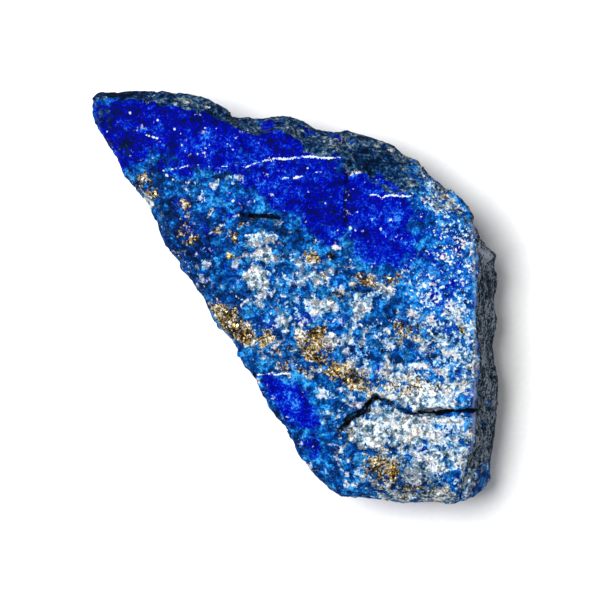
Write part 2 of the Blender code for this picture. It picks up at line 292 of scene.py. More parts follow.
calcitePatches = [
    # broad thin clouds
    (19.1, -5.7, 3.4, 7.0, 0, 0.62), (2.0, 0.0, 7.0, 5.5, 0, 0.45), (9.0, -6.0, 6.0, 4.5, 0, 0.50),
    (12.5, -10.0, 6.0, 3.5, 0, 0.52), (14.0, -22.0, 6.5, 2.8, 0, 0.62),
    # white clouds in the middle
    (-4.1, 7.1, 2.0, 1.1, 0, 0.80), (-4.1, 5.0, 2.3, 1.1, 8, 0.80), (-4.6, 2.0, 1.7, 1.6, 0, 0.88),
    (-1.1, 4.3, 1.4, 2.2, 0, 0.45), (2.3, 2.0, 2.4, 1.0, 0, 0.7), (3.2, -0.7, 2.6, 1.1, -5, 0.8),
    (7.7, -0.9, 1.7, 2.2, 0, 0.75), (-1.6, -3.4, 1.4, 1.4, 0, 0.65), (5.0, -5.2, 1.8, 1.3, 0, 0.7),
    (10.3, 0.8, 1.7, 1.4, 0, 0.7), (11.9, -9.3, 3.4, 1.9, 0, 0.72), (0.5, -6.9, 1.7, 1.4, 0, 0.45),
    (8.3, -6.9, 1.9, 1.4, 0, 0.45), (-5.5, -0.3, 1.9, 1.0, -15, 0.6), (1.4, -8.9, 1.9, 1.1, -15, 0.35),
    (-4.0, -5.0, 3.0, 3.0, 0, 0.45),
    # the strip above the long crack and the pale slab below it
    (15.6, -11.4, 6.4, 1.8, 3, 0.78), (15.5, -12.8, 6.0, 0.9, -2, 0.88), (15.0, -14.7, 7.0, 0.9, 0, 0.80),
    (11.9, -16.3, 7.0, 2.0, -5, 0.85), (15.0, -16.6, 7.0, 2.4, 0, 0.68), (17.3, -18.9, 4.6, 2.6, 0, 0.72),
    (7.9, -16.1, 2.6, 1.8, 20, 0.92), (17.6, -23.9, 1.5, 1.1, 0, 1.0), (7.7, -20.7, 1.9, 2.6, 0, 0.45),
    (5.3, -18.9, 1.2, 1.4, 0, 0.35), (12.5, -18.9, 3.6, 2.6, 0, 0.6), (19.4, -21.3, 1.0, 2.6, 0, 0.6),
    (21.8, -18.9, 1.0, 1.2, 0, 0.7), (14.5, -24.0, 6.0, 1.0, 3, 0.86), (21.5, -22.0, 2.2, 3.4, 0, 0.85),
    (5.5, -13.0, 3.0, 2.0, -20, 0.45), (10.6, -13.8, 2.4, 1.1, -8, 0.85),
    # the sugary white side
    (17.3, 10.9, 2.2, 1.1, -35, 0.62), (19.0, 5.7, 3.0, 4.8, 10, 0.48), (16.1, 0.9, 2.6, 2.6, 0, 0.52),
    (14.9, -3.9, 2.6, 3.6, 0, 0.55), (17.5, 12.6, 4.6, 1.8, -46, 0.60),
    # white flecks in the blue and at the left edge
    (-7.2, 14.3, 1.6, 0.9, 0, 0.80), (-11.2, 12.7, 0.6, 1.2, 0, 0.55), (-9.7, 13.6, 0.7, 0.7, 0, 0.6),
    (3.3, -11.1, 1.7, 1.0, -10, 0.55), (-17.9, 11.6, 0.6, 1.2, 20, 0.9), (-10.3, 10.3, 0.4, 1.1, -25, 0.75),
    (-10.9, 6.9, 2.6, 2.6, 0, 0.35), (-12.7, 9.3, 1.7, 1.7, 0, 0.35), (-10.9, 2.7, 1.9, 3.6, 35, 0.3),
]
pyritePatches = [
    # broad stains of brown matrix
    (-7.6, -3.2, 4.6, 1.8, -43, 0.77), (2.0, -5.8, 3.2, 2.3, -42, 0.68), (7.0, -9.8, 3.8, 1.4, -30, 0.73),
    (10.0, 2.0, 3.6, 1.4, 0, 0.44), (13.0, -4.0, 2.4, 2.4, 0, 0.42), (6.2, -15.9, 3.0, 1.3, 12, 0.50),
    (10.6, -20.8, 4.2, 2.2, -42, 0.62), (15.0, -23.2, 4.4, 1.3, 0, 0.56), (-1.2, -7.2, 2.4, 2.2, 0, 0.50),
    (-13.4, 8.4, 2.4, 2.6, 0, 0.44), (14.4, -10.6, 6.4, 1.6, 2, 0.54), (14.0, -16.0, 3.0, 2.0, 0, 0.36),
    (-13.0, 23.6, 4.4, 1.0, -8, 0.42),
    # the gold seam from the left edge to the long crack
    (-9.6, -1.4, 1.2, 1.0, -30, 0.8), (-7.8, -3.3, 1.4, 1.3, -30, 0.8), (-5.8, -4.9, 1.1, 1.2, 0, 0.5),
    (-3.6, -5.1, 1.1, 1.7, 0, 0.75), (0.8, -4.3, 1.1, 1.2, 0, 0.7), (2.6, -4.4, 1.1, 1.0, 0, 1.0),
    (2.3, -7.3, 1.7, 1.1, -20, 0.8), (4.9, -8.9, 1.7, 1.1, -25, 0.8), (6.8, -10.3, 1.8, 1.1, -25, 0.8),
    (8.9, -11.9, 1.0, 0.6, 0, 0.6), (-1.3, -7.5, 1.3, 1.9, 0, 0.5), (0.6, -9.2, 1.5, 0.8, -30, 0.62),
    # the gold seam of the lower slab
    (9.3, -19.4, 1.0, 1.3, 0, 0.85), (11.6, -20.8, 1.2, 1.3, -30, 0.9), (13.4, -22.6, 0.7, 0.7, 0, 0.8),
    (5.9, -15.3, 0.7, 0.6, 0, 0.5),
    # tan stains under the rim and along the wall
    (19.7, -3.9, 0.6, 0.5, 0, 0.7), (21.6, 7.7, 0.4, 0.6, 0, 0.8), (-3.6, 21.8, 2.6, 0.6, 0, 0.50),
    (13.4, 16.6, 3.4, 0.8, -38, 0.46), (18.6, 11.6, 2.6, 0.8, -48, 0.50), (21.4, -8.6, 0.7, 4.4, -3, 0.50),
    (21.0, -16.8, 0.7, 3.2, -3, 0.52), (4.2, 18.8, 1.6, 0.8, -10, 0.46), (7.0, 15.1, 1.5, 0.45, -6, 0.60),
    # specks at the left edge and near the crevice
    (-6.7, 8.8, 0.5, 0.5, 0, 0.8), (-7.0, 7.0, 0.6, 1.1, 0, 1.0), (-8.1, 4.9, 0.7, 0.8, 0, 0.85),
    (-9.8, 7.9, 0.6, 0.6, 0, 0.7), (-12.2, 6.8, 1.0, 0.6, 0, 0.7), (-13.8, 4.6, 0.5, 0.6, 0, 0.7),
    (-18.7, 14.3, 1.0, 0.6, 0, 0.6), (-17.3, 12.8, 1.1, 0.7, 0, 0.65), (-13.3, 11.1, 0.6, 1.2, 0, 0.7),
    (-10.4, 10.2, 0.3, 0.9, -25, 0.62), (-17.8, 13.4, 2.2, 1.6, -30, 0.48),
    # specks in the white middle
    (2.1, 5.0, 1.1, 1.0, 0, 0.75), (3.8, 5.7, 0.6, 0.7, 0, 0.6), (8.4, 2.3, 1.2, 1.1, 0, 0.66),
    (11.6, 2.3, 1.9, 1.1, -5, 0.62), (12.7, -4.0, 1.2, 1.6, 20, 0.6), (16.4, -6.8, 0.8, 0.6, 0, 0.6),
    (5.3, 0.2, 1.0, 0.6, 0, 0.6), (3.1, 2.1, 0.6, 0.7, 0, 0.6),
]
rindPatches = [
    # the crust along the top rim
    (-13.3, 23.6, 4.1, 1.1, -8, 0.9), (-21.1, 24.4, 4.1, 0.6, 3, 1.0), (-9.7, 22.5, 1.7, 0.8, -25, 0.7),
    (-4.6, 21.7, 3.1, 0.7, -2, 0.9), (-1.6, 21.1, 1.0, 1.0, 0, 0.7), (2.6, 18.3, 2.4, 1.7, -20, 0.85),
    (4.7, 18.2, 1.6, 1.1, 0, 0.9), (9.0, 17.0, 3.7, 2.3, -8, 1.0), (8.2, 16.3, 2.8, 1.4, 0, 1.0),
    (12.8, 15.2, 3.4, 2.3, -40, 0.74), (15.6, 13.4, 2.0, 1.2, -45, 0.5),
    # thin crust down the left edge
    (-16.3, 11.1, 1.9, 5.0, 32, 0.4), (-14.5, 7.5, 1.7, 3.1, 30, 0.4), (-22.3, 20.1, 1.0, 4.8, 28, 0.4),
    (-18.4, 14.1, 1.4, 1.2, 0, 0.45),
    # the cracked corner by the wall
    (21.7, -20.8, 0.5, 2.6, 0, 0.8),
]

# Slate that turns up on to the face at the top of the wall
slatePatches = [(23.4, 5.2, 1.5, 1.8, 0, 1.0)]

# Broad light and dark of the whole rock, as its amount above or below the middle tone
tonePatches = [
    # darker
    (-21.5, 20.0, 4.0, 4.0, -30, -0.10), (-13.0, 22.5, 8.0, 1.6, -6, -0.06), (2.5, 13.0, 3.2, 4.2, 0, -0.02),
    (-14.5, 8.0, 3.0, 7.0, 32, -0.09), (-12.0, 2.5, 2.4, 4.0, 35, -0.08), (-17.0, 15.0, 3.0, 1.4, 30, -0.06),
    (-2.0, -15.0, 3.0, 1.4, -45, -0.08), (15.0, -22.0, 6.0, 1.6, 5, -0.03), (-21.0, 24.8, 4.2, 0.9, 2, -0.30),
    (9.4, 16.2, 3.2, 1.4, -10, -0.16),
    # lighter
    (8.5, 13.5, 2.6, 1.2, 0, 0.05), (10.0, 8.5, 4.2, 3.4, 0, 0.07), (11.2, 6.7, 1.6, 0.9, 0, 0.08),
    (-9.5, 18.5, 4.5, 1.8, -5, 0.11), (-3.5, 12.0, 2.6, 1.6, 0, 0.10), (-9.5, 12.2, 3.6, 2.0, -10, 0.05),
    (6.5, -22.6, 2.2, 1.3, -20, 0.10), (-12.5, 19.5, 0.8, 0.8, 0, 0.12), (12.5, -16.0, 8.0, 2.6, 0, 0.05),
    (14.0, -10.8, 7.0, 1.8, 0, 0.09), (2.0, -1.0, 7.0, 7.0, 0, 0.04), (17.5, 3.0, 4.0, 8.0, 0, 0.04),
    (5.6, -20.6, 4.6, 3.2, -45, 0.04), (17.0, 12.0, 2.0, 1.0, -40, 0.06), (-17.9, 11.6, 0.8, 1.3, 20, 0.15),
    (23.2, 5.0, 1.0, 1.2, 0, 0.30), (12.0, 17.8, 2.6, 0.7, -30, 0.16), (6.9, 14.9, 1.4, 0.5, 0, 0.25),
    (-13.0, 23.4, 2.0, 0.8, -8, 0.12), (4.5, 18.2, 1.2, 0.7, 0, 0.14), (-0.3, -12.6, 4.6, 2.2, -42, 0.16),
    (1.6, -10.6, 3.0, 1.0, -42, 0.16), (14.2, 14.4, 1.4, 1.8, -30, 0.14),
]

# Calcite veins, with their half width in mm; at zero and below only a broken line shows
veins = {
    "mainVein": ([(-6.0, 15.7), (-5.2, 16.0), (-4.3, 16.3), (-3.5, 16.5), (-2.5, 16.7), (-1.1, 16.6),
                  (-0.4, 16.7), (0.5, 16.9), (1.7, 16.9), (3.5, 16.7), (5.4, 16.9)], 0.08),
    "underVeinA": ([(-1.7, 14.2), (-1.0, 14.3)], 0.10),
    "underVeinB": ([(-0.2, 14.3), (0.9, 14.6)], 0.10),
    "underVeinC": ([(2.5, 15.1), (3.2, 15.1)], 0.09),
    "lowerVein": ([(8.9, 12.3), (9.6, 12.3), (10.3, 11.9), (10.8, 12.2), (11.6, 12.3), (12.5, 12.2),
                   (13.9, 12.2)], 0.09),
    "tipVein": ([(-18.2, 19.5), (-17.3, 19.4), (-16.6, 19.1)], 0.05),
    "dashes": ([(-16.0, 15.2), (-14.6, 15.4), (-13.3, 15.7)], 0.0),
    "faintVein": ([(-13.0, 15.8), (-11.5, 15.9), (-9.5, 15.6), (-7.6, 15.9), (-6.0, 15.7)], -0.04),
    "wavyVein": ([(-7.3, 0.3), (-6.8, -0.3), (-5.4, -0.2), (-4.0, 0.1)], -0.04),
    "lensRim": ([(-4.7, -9.3), (-2.6, -9.2), (-0.7, -9.1)], 0.06),
    "branch": ([(-11.6, 13.4), (-11.1, 12.6), (-10.9, 11.6)], 0.0),
}

# Loose calcite grains and painted glints, white specks in the blue: place and half width in mm
grainsAndGlints = [
    (-20.0, 22.2, 0.16), (-16.6, 21.3, 0.12), (-14.6, 20.2, 0.14), (-13.9, 19.7, 0.09), (-10.9, 20.3, 0.10),
    (-9.6, 20.3, 0.08), (-5.8, 20.1, 0.07), (-6.5, 19.9, 0.06), (-3.5, 20.1, 0.06), (-13.7, 18.3, 0.07),
    (-13.3, 17.6, 0.06), (-12.6, 17.2, 0.08), (-11.8, 17.2, 0.10), (-10.9, 17.9, 0.08), (-10.4, 18.3, 0.06),
    (-8.2, 18.4, 0.07), (-7.9, 18.2, 0.06), (-7.6, 17.8, 0.06), (-5.0, 17.2, 0.06), (-7.1, 16.3, 0.07),
    (-15.5, 14.6, 0.16), (-14.8, 14.1, 0.12), (-12.5, 12.3, 0.11), (-1.1, 12.2, 0.09), (1.4, 12.7, 0.11),
    (-22.7, 20.0, 0.11), (-19.9, 17.0, 0.09), (1.3, 15.5, 0.11), (6.1, 15.1, 0.11), (8.2, 13.9, 0.09),
    (7.3, 10.3, 0.11), (9.1, 9.4, 0.10), (11.4, 9.3, 0.16), (10.2, 8.2, 0.16), (6.5, 8.3, 0.14),
    (7.1, 8.0, 0.12), (8.0, 8.0, 0.11), (5.0, 8.1, 0.09), (8.7, 6.7, 0.10), (1.2, 9.1, 0.10),
    (3.5, 11.3, 0.09), (6.5, 8.4, 0.11), (5.9, 11.7, 0.09), (5.8, 10.6, 0.09), (5.8, 9.7, 0.09),
    (-7.6, 11.6, 0.16), (-6.9, 9.9, 0.10), (-4.5, 9.8, 0.12),
]

# Where a patch is full and where it ends, in half widths
patchEdges = {
    "lazurite": (0.5, 1.5), "calcite": (0.55, 1.35), "pyrite": (0.4, 1.5), "rind": (0.7, 1.2),
    "slate": (0.55, 1.35), "tone": (0.3, 1.5),
}

# How the patches are drawn on the broad face
drawing = {
    "faceTop": 14.4,         # mm above the table
    "depthFade": (0.5, 6.0), # mm below it over which the patches lose their shapes
    "wideSize": 2.6,         # mm from bend to bend of a patch's edge
    "wideWobble": 0.75,      # mm, how far that bends it
    "sideWobble": 2.4,       # mm more on the sides
    "fineSize": 0.8,         # mm, finer bends
    "fineWobble": 0.40,      # mm
    "betweenPatches": 0.24,  # calcite between its patches, where there is no deep blue
    "blueClears": (0.2, 0.7),     # amount of lazurite over which that calcite goes
    "blueHides": (0.35, 0.85),    # amount of lazurite over which it hides a calcite patch
    "mostHidden": 0.72,
    "sugarSide": (10.0, 14.5),    # mm to the right where the sugary white side starts, and is full
    "sugarLean": 0.25,       # mm further left for each mm up
    "sugarLow": 0.35,        # how sugary its lower part is
    "sugarRise": (-7.0, 2.0),     # mm, from that part to the fully sugary one
    "veinWobble": 0.10,      # mm
    "veinTaper": 0.55,       # how much thinner a vein's ends are
    "grainWobble": 0.08,     # mm
    "crackShade": (0.02, 0.35),   # mm of crack depth, from none to the full painted shade
    "pitShade": 0.25,        # mm below the surface where a hollow gets the most painted shade
    "pitShadeStrength": 0.35,         # how much that is
}

# What lies on the walls, the rim and the underside
sides = {
    "share": 0.75,           # how much of the sides is drifting rock, and not the patches of the face
    "driftSize": 7.0,        # mm, patches of blue and of calcite in it
    "calcite": (0.24, 0.35), # amount, and how much the drift adds to it
    "lazurite": (0.30, -0.6),
    "pyrite": (0.28, 0.3),
    "wallTurn": (0.45, 0.75),     # how far a point faces right, from broad face to grey slate wall
    "wallTop": (14.6, 13.6),      # mm above the table, the same
    "blueCorner": 0.9,            # how much of the slate is missing at the lowest corner
    "cornerPlace": (-18.5, -20.5),     # mm, from slate to that corner
    "rimWay": (0.5, 0.87),        # the way the weathered rim faces
    "rimTurn": (0.35, 0.75),      # how far a point faces that way, from broad face to rim
    "rimTop": (15.0, 13.6),       # mm above the table, the same
    "rimRind": (0.45, 0.4),       # rind on the rim, and how much more of it up to where it thins out
    "rimThins": (15.5, 12.0),     # mm to the right
    "edgeTurn": (0.12, 0.30),     # how far a point faces right where the painted highlight on the edge starts
    "edgeTurnEnd": (0.75, 0.5),   # and where it ends
    "edgeHeight": (12.6, 13.4),   # mm above the table
    "edgePlace": (20.6, 21.4),    # mm to the right
}


def drawPatches(x, y, sideShare, drift):
    # lazurite, calcite, pyrite and tone at each point
    lazurite = patchField(x, y, lazuritePatches, *patchEdges["lazurite"])
    calcite = np.maximum(patchField(x, y, calcitePatches, *patchEdges["calcite"]),
                         drawing["betweenPatches"] * (1 - soft(*drawing["blueClears"], lazurite)))
    calcite *= 1 - drawing["mostHidden"] * soft(*drawing["blueHides"], lazurite)
    pyrite = patchField(x, y, pyritePatches, *patchEdges["pyrite"])
    bright = [patch for patch in tonePatches if patch[5] > 0]
    dark = [(*patch[:5], -patch[5]) for patch in tonePatches if patch[5] < 0]
    light, shade = [patchField(x, y, patches, *patchEdges["tone"]) for patches in (bright, dark)]
    fields = {"tone": 0.5 + (light - shade) * (1 - sideShare)}
    for name, drawn in (("lazurite", lazurite), ("calcite", calcite), ("pyrite", pyrite)):
        amount, swing = sides[name]
        fields[name] = drawn * (1 - sideShare) + (amount + swing * drift) * sideShare
    return fields


def drawSides(points, normals, x, y, below):
    # the rind, the slate wall and the painted highlight along the edge between wall and face
    faceX, faceY = normals[:, 0], normals[:, 1]
    z = points[:, 2]
    rind = patchField(x, y, rindPatches, *patchEdges["rind"]) * (1 - below)
    alongX, alongY = sides["rimWay"]
    rim = soft(*sides["rimTurn"], alongX * faceX + alongY * faceY) * soft(*sides["rimTop"], z)
    least, more = sides["rimRind"]
    rind = np.maximum(rind, rim * (least + more * soft(*sides["rimThins"], points[:, 0])))
    wall = soft(*sides["wallTurn"], faceX) * soft(*sides["wallTop"], z)
    wall *= 1 - sides["blueCorner"] * soft(*sides["cornerPlace"], y)
    wall = np.maximum(wall, patchField(points[:, 0], points[:, 1], slatePatches, *patchEdges["slate"]))
    # painted highlight along the bevel where the broad face turns down to the wall
    edge = soft(*sides["edgeTurn"], faceX) * soft(*sides["edgeTurnEnd"], faceX)
    edge = edge * soft(*sides["edgeHeight"], z) * soft(*sides["edgePlace"], points[:, 0])
    return {"rind": rind, "wall": wall, "edge": edge}


def drawVeins(points, fine, below):
    # mm from the nearest vein and from the nearest white speck, below zero inside them; the specks are calcite
    # grains and painted glints
    x, y = points[:, 0], points[:, 1]
    farthest = 2.0   # mm, as far as the two distances are kept
    veinGap = np.full(len(x), farthest)
    bend = drawing["veinWobble"] * fine
    for line, half in veins.values():
        gap, along = lineField(x + bend[:, 0], y + bend[:, 1], line)
        taper = 1.0 - drawing["veinTaper"] * np.abs(2 * along - 1) ** 3
        veinGap = np.minimum(veinGap, gap - half * taper)
    grainAndGlintGap = np.full(len(x), farthest)
    bend = drawing["grainWobble"] * fine
    for grainX, grainY, half in grainsAndGlints:
        away = np.hypot(x - grainX + bend[:, 1], y - grainY + bend[:, 0])
        grainAndGlintGap = np.minimum(grainAndGlintGap, away - half)
    offSides = 3.0 * below   # there are none on the sides
    return {"veinGap": np.clip(veinGap + offSides, -1, farthest),
            "grainAndGlintGap": np.clip(grainAndGlintGap + offSides, -1, farthest)}


def mapMinerals(mesh, height, depth):
    # stores every field that the material reads, and gives back their names
    points, normals = readPoints(mesh)
    below = soft(*drawing["depthFade"], drawing["faceTop"] - points[:, 2])
    wide = vectorNoiseAt(points, drawing["wideSize"], seed=21)
    fine = vectorNoiseAt(points, drawing["fineSize"], seed=22)
    stray = drawing["wideWobble"] + drawing["sideWobble"] * below
    x, y = [points[:, i] + stray * wide[:, i] + drawing["fineWobble"] * fine[:, i] for i in (0, 1)]
    drift = fractalAt(points, sides["driftSize"], octaves=3, seed=31)
    low = drawing["sugarLow"]
    sugar = soft(*drawing["sugarSide"], x + drawing["sugarLean"] * y) * (1 - below)
    # painted shade in the hollows of the broken surface, darker the deeper they lie
    pitShading = soft(0.0, drawing["pitShade"], -height) * drawing["pitShadeStrength"]
    fields = {
        **drawPatches(x, y, below * sides["share"], drift),
        **drawSides(points, normals, x, y, below),
        **drawVeins(points, fine, below),
        "sugar": sugar * (low + (1 - low) * soft(*drawing["sugarRise"], y)),
        # painted shade: the cracks and the hollows darkened
        "crackAndPitShade": soft(*drawing["crackShade"], depth) + pitShading,
    }
    for name, values in fields.items():
        storeField(mesh, name, values)
    return list(fields)


# Colours and material nodes

def colour(hexCode):
    # sRGB hex to the linear values that the nodes use
    parts = [int(hexCode[i:i + 2], 16) / 255 for i in (1, 3, 5)]
    return [c / 12.92 if c <= 0.04045 else ((c + 0.055) / 1.055) ** 2.4 for c in parts] + [1.0]


def addNode(tree, kind, settings=None, inputs=None, give=0, stops=None):
    # adds one node with its settings, input values or links and ramp stops, and gives back one of its outputs
    node = tree.nodes.new("ShaderNode" + kind)
    for name, value in (settings or {}).items():
        setattr(node, name, value)
    for name, value in (inputs or {}).items():
        if isinstance(value, bpy.types.NodeSocket):
            tree.links.new(value, node.inputs[name])
        else:
            node.inputs[name].default_value = value
    if stops:
        ramp = node.color_ramp
        ramp.elements.remove(ramp.elements[1])
        ramp.elements[0].position, ramp.elements[0].color = stops[0][0], colour(stops[0][1])
        for position, hexCode in stops[1:]:
            ramp.elements.new(position).color = colour(hexCode)
    return node.outputs[give] if len(node.outputs) else node


# Colours and finish of the rock; each ramp runs from its darkest to its lightest grain
lapis = {
    # deep lazurite: ultramarine, smooth, no grain to see
    "deepBlues": [(0.20, "#020c34"), (0.34, "#00066c"), (0.48, "#000290"), (0.59, "#000aac"),
                  (0.67, "#022ca0"), (0.77, "#0644c8"), (0.92, "#3c8ad8")],
    # thin lazurite among calcite: azure and royal grains with dark teal between them
    "thinBlues": [(0.16, "#020e28"), (0.28, "#02264e"), (0.38, "#022e76"), (0.50, "#00429c"),
                  (0.63, "#086ab8"), (0.80, "#3ca0e0")],
    # clean calcite: sky blue where blue shines through, then bluish white
    "calcites": [(0.34, "#0a5eb4"), (0.45, "#3084cc"), (0.57, "#68a8dc"), (0.70, "#98c4e6"),
                 (0.84, "#c8dff0"), (0.98, "#f4f8fa")],
    # dull calcite: grey to grey-white, from dust of the brown matrix
    "dullCalcites": [(0.34, "#245868"), (0.46, "#50788c"), (0.58, "#849cae"), (0.70, "#a6b8c6"),
                     (0.84, "#ccd9e0"), (0.98, "#f2f4f2")],
    # brown-grey matrix round the pyrite, and the pyrite grains themselves
    "matrix": [(0.26, "#080c0a"), (0.38, "#24241a"), (0.48, "#54482c"), (0.57, "#807252"), (0.67, "#a29a84"),
               (0.78, "#cac6ba"), (0.92, "#f0eee8")],
    "pyrites": [(0.1, "#2c1e0a"), (0.45, "#6e501c"), (0.75, "#a07c3a"), (0.97, "#e4d09c")],
    # weathered rind: dark teal crust with grey and tan grains
    "rinds": [(0.26, "#020e24"), (0.42, "#04244e"), (0.54, "#163a60"), (0.65, "#3a5c74"), (0.77, "#707a7c"),
              (0.92, "#b4b8b2")],
    # slate wall: grey, finely bedded
    "slates": [(0.28, "#030e1c"), (0.42, "#1e3042"), (0.56, "#425464"), (0.72, "#848c98")],
    "warmCalcite": "#d2bcb2",     # pinkish stain in the white
    "wornEdge": "#9c9a90",        # painted highlight: grey line where the broad face meets the slate
    "shadeGrain": "#040c1c",      # dark grains that set off the light ones
    "veinWhite": "#d8ecfa",       # veins, loose grains and painted glints
    # painted shade that darkens the cracks and hollows
    "crackDirt": "#04070e",
    "swirlSize": 0.9,             # mm, how the patterns are stirred, so that no grain is a neat cell
    "swirl": 0.5,                 # mm
    "beddingStretch": 0.12,       # the slate's layers are this much finer than they are long
    "calciteLift": (0.55, 0.22),  # how a point's whiteness sets its calcite tone, and the darkest tone
    "rockGloss": (0.66, 0.80),    # roughness of lazurite, a little glassy, and of calcite, dull
    "pyriteGloss": 0.34,          # roughness of pyrite, shiny
    "bumpHeight": 0.06,           # mm, how far the hard grains stand out
    "bumpStrength": 0.7,
    "ior": 1.5,
    "specular": 0.02,             # faint, so that the deep blues stay deep under the soft box
}

# Noise patterns in the rock: size of the largest lumps in mm, octaves, roughness
patterns = {
    "patch": (1.5, 5, 0.6),       # clouds of calcite
    "grain": (0.75, 3, 0.65),     # calcite and lazurite grains
    "tiny": (0.24, 2, 0.5),       # sugary crystals inside them, as coarse as they need to be to show
    "shade": (1.9, 6, 0.65),      # light and dark of the deep blue
    "hue": (1.1, 4, 0.66),        # light and dark of the thin blue and the matrix
    "warm": (1.5, 4, 0.65),       # pinkish stains
    "dust": (2.3, 5, 0.65),       # brown dust in the calcite
    "crust": (0.8, 4, 0.7),       # weathered crust
    "pepper": (0.6, 3, 0.7),      # dark grains
    "speck": (0.42, 2, 0.6),      # white and blue grains of the sugary right side
    "bedding": (0.45, 4, 0.65),   # layers of the slate
}

# Crystals in the rock, mm across: sugary ones and pyrite grains, both as coarse as they need to be to
# show, and cleavage flakes with crisp edges
crystals = {"cell": 0.24, "lump": 0.26, "flake": 0.7}

# Each mix is a start value and the fields that swing it up and down about their middle, 0.5
mixes = {
    "deepTone": ("tone", {"shade": 1.5, "hue": 0.6, "tiny": 0.9, "cellA": 0.20}),
    "thinTone": ("tone", {"hue": 1.5, "flakeA": 0.24, "tiny": 0.5, "cellA": 0.22}),
    "purity": ("lazurite", {"patch": 1.2, "grain": 0.4}),
    "cloudy": ("calcite", {"patch": 1.8, "grain": 0.8, "flakeB": 0.34, "tiny": 0.4, "cellB": 0.14}),
    "sugary": ("calcite", {"patch": 0.5, "grain": 0.4, "speck": 2.2, "cellB": 0.30}),
    "dullness": ("pyrite", {"dust": 2.2, "grain": 0.5, "sugar": 0.15, "calcite": 0.9}),
    "pepperEdge": ("pepper", {"tone": 0.5, "lazurite": 0.12, "sugar": 0.2}),
    "goldness": ("pyrite", {"patch": 0.6, "crust": 0.6, "lumpA": 0.30}),
    "matrixTone": ("tone", {"patch": 0.9, "hue": 1.3, "tiny": 1.2, "cellC": 0.30}),
    "rindness": ("rind", {"patch": 0.9, "grain": 0.6}),
    "rindTone": ("tone", {"crust": 1.8, "speck": 0.7, "cellA": 0.24}),
    "wallness": ("wall", {"patch": 0.5}),
    "slateTone": ("tone", {"bedding": 1.5, "tiny": 1.4, "crust": 1.6}),
    "veinEdge": ("veinGap", {"grain": 0.5, "tiny": 0.4}),
    "grainAndGlintEdge": ("grainAndGlintGap", {"speck": 0.35, "tiny": 0.3}),
}
calciteSwings = {"tone": 0.8, "pepper": 0.8, "speck": 0.7, "flakeC": 0.22, "cellC": 0.30}

# Where each mineral covers the one before it: the field, and its values for none and for full cover
covers = {
    "pureCover": ("purity", 0.35, 0.70),
    "calciteCover": ("whiteness", 0.46, 0.58),
    "warmCover": ("warm", 0.50, 0.68),
    "dullCover": ("dullness", -0.15, 0.33),
    "matrixCover": ("goldness", 0.50, 0.62),
    "richCover": ("goldness", 0.62, 0.74),
    "luckyCover": ("lumpB", 0.66, 0.74),      # one pyrite grain in three shines
    "pepperCover": ("pepperEdge", 0.40, 0.32),
    "rindCover": ("rindness", 0.40, 0.62),
    "wallCover": ("wallness", 0.40, 0.60),
    "veinCover": ("veinEdge", 0.05, -0.03),
    # white specks: calcite grains and painted glints
    "grainAndGlintCover": ("grainAndGlintEdge", 0.05, -0.03),
}

# Which field picks the colour from each ramp
tints = {
    "thin": ("thinTone", "thinBlues"), "deep": ("deepTone", "deepBlues"),
    "clean": ("calciteTone", "calcites"), "dull": ("calciteTone", "dullCalcites"),
    "matrix": ("matrixTone", "matrix"), "gold": ("lumpC", "pyrites"),
    "rind": ("rindTone", "rinds"), "slate": ("slateTone", "slates"),
}

# The layers over the thin blue, each on top of the one before it: where it lies, its tint or its one
# colour, and how solid it is
layers = (
    ("pureCover", "deep", 1), ("calciteCover", "calcite", 1), ("warmCover", "warmCalcite", 0.55),
    ("pepperCover", "shadeGrain", 0.6), ("rindCover", "rind", 1), ("matrixCover", "matrix", 1),
    # the edge layer is a painted highlight
    ("goldCover", "gold", 1), ("wallCover", "slate", 1), ("edge", "wornEdge", 0.35),
    # the last layer is painted shade in the cracks and hollows
    ("veinCover", "veinWhite", 0.9), ("grainAndGlintCover", "veinWhite", 0.75), ("crackAndPitShade", "crackDirt", 0.95),
)
grainRise = {"grain": 1.6, "tiny": 0.9, "lumpDome": -0.5}   # how the grains stand out over the calcite's rise


